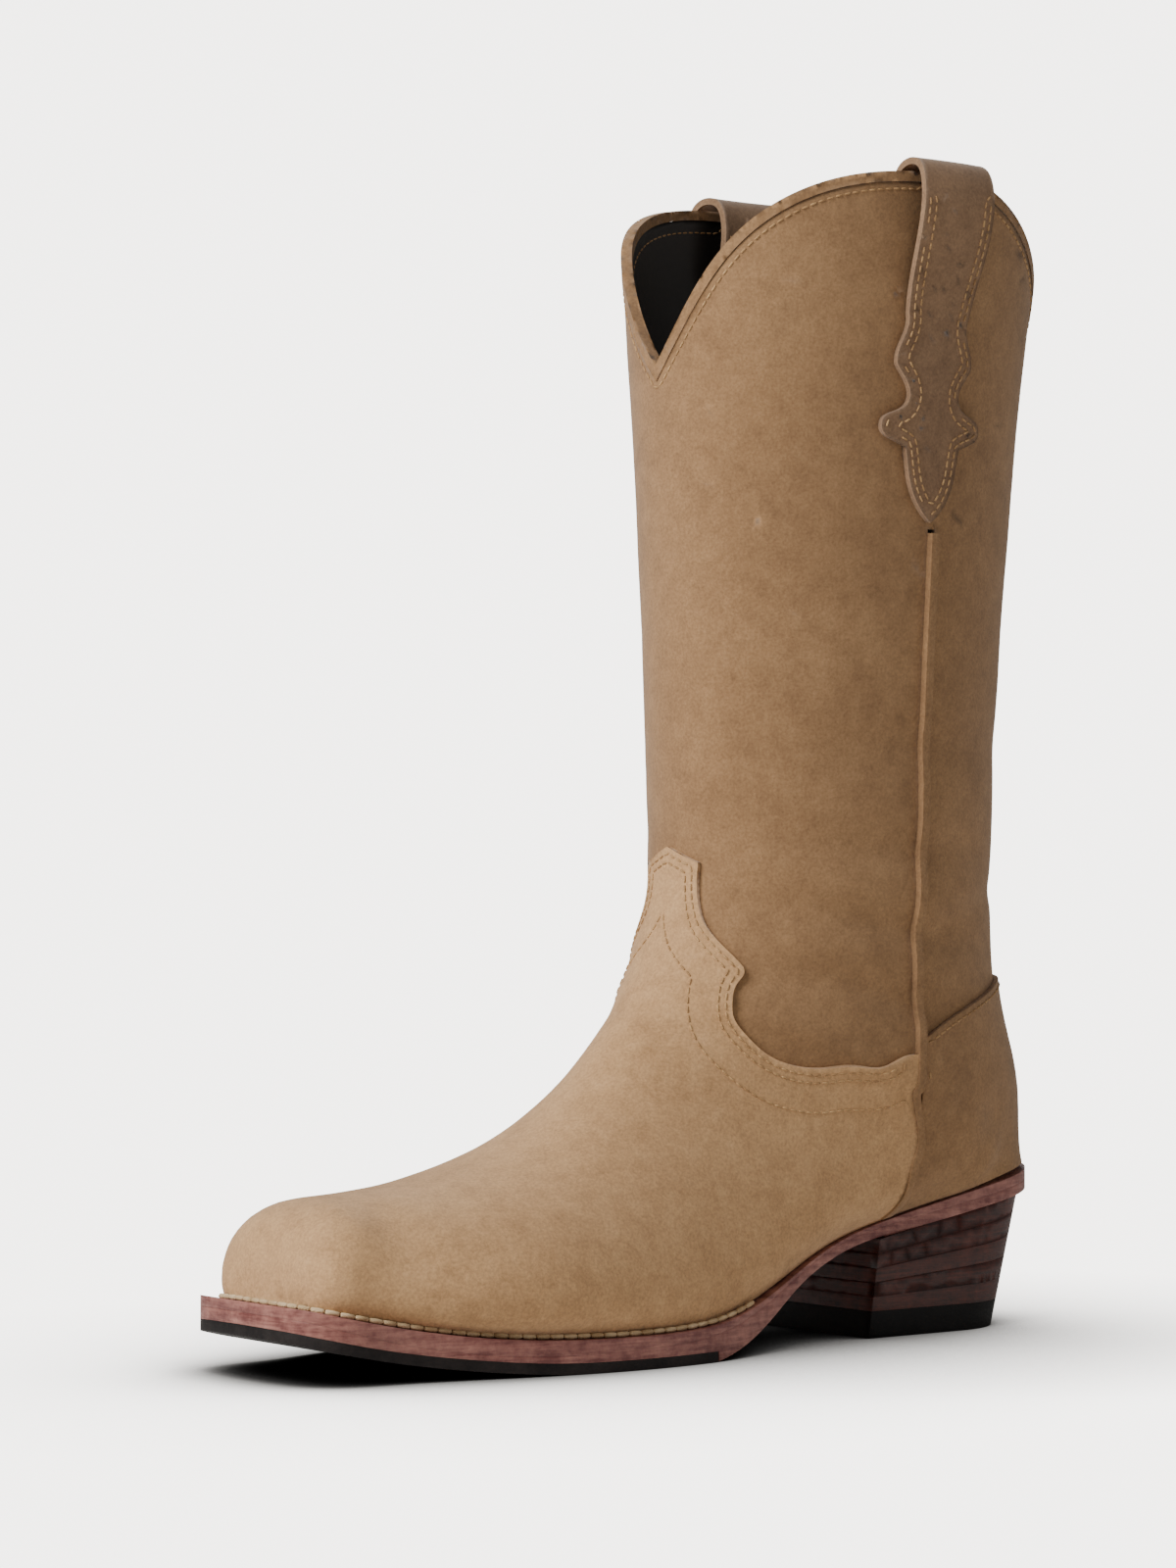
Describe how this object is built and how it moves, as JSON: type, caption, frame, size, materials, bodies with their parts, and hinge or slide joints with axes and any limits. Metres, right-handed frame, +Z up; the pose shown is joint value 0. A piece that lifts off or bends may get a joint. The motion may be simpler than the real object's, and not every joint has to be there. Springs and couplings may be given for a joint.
{
  "type": "cowboy boot",
  "caption": "Left western boot in tan roughout suede with a tall shaft, pull straps, pointed tongue vamp, welted sole and stacked underslung heel.",
  "frame": {"origin": "on the ground plane, midway along the boot's length and across its width", "axes": "+Z up the shaft, -X towards the toe, -Y towards the outer side of the left foot"},
  "size_m": [0.2934, 0.1202, 0.3666],
  "materials": {
    "shaft_suede": "roughout suede, matt",
    "vamp_suede": "roughout suede, matt",
    "strap_suede": "suede, matt",
    "lining_leather": "smooth, satin",
    "fabric_backer": "woven, matt",
    "stiffener": "moulded fibre leather, matt",
    "welt_leather": "burnished, satin",
    "insole_leather": "vegetable tanned, matt",
    "sock_leather": "smooth, satin",
    "foam": "soft pad, matt",
    "cork": "ground cork, matt",
    "steel": "spring steel",
    "nail_steel": "steel",
    "peg_wood": "lemonwood",
    "tread_rubber": "dark rubber, satin",
    "stacked_leather": "stained edge, satin",
    "cap_rubber": "black rubber, satin",
    "thread": "waxed thread"
  },
  "bodies": {
    "root": {"shaft_front_panel": "shaft_suede", "shaft_back_panel": "shaft_suede", "vamp": "vamp_suede", "heel_counter_cover": "shaft_suede", "side_piping_outer": "shaft_suede", "side_piping_inner": "shaft_suede", "pull_strap_outer": "strap_suede", "pull_strap_inner": "strap_suede", "topline_binding_front": "shaft_suede", "topline_binding_back": "shaft_suede", "shaft_lining_front": "lining_leather", "shaft_lining_back": "lining_leather", "vamp_lining": "lining_leather", "vamp_interlining": "fabric_backer", "toe_box": "stiffener", "heel_stiffener": "stiffener", "insole": "insole_leather", "insole_rib": "insole_leather", "sock_liner": "sock_leather", "heel_pad": "foam", "cork_filler": "cork", "heel_filler": "insole_leather", "steel_shank": "steel", "heel_nails": "nail_steel", "heel_cap_nails": "nail_steel", "waist_pegs": "peg_wood", "welt": "welt_leather", "heel_rand": "welt_leather", "outsole": "welt_leather", "forefoot_tread": "tread_rubber", "heel_lift_1": "stacked_leather", "heel_lift_2": "stacked_leather", "heel_lift_3": "stacked_leather", "heel_lift_4": "stacked_leather", "heel_lift_5": "stacked_leather", "heel_cap": "cap_rubber", "welt_stitching": "thread"}
  },
  "joints": []
}
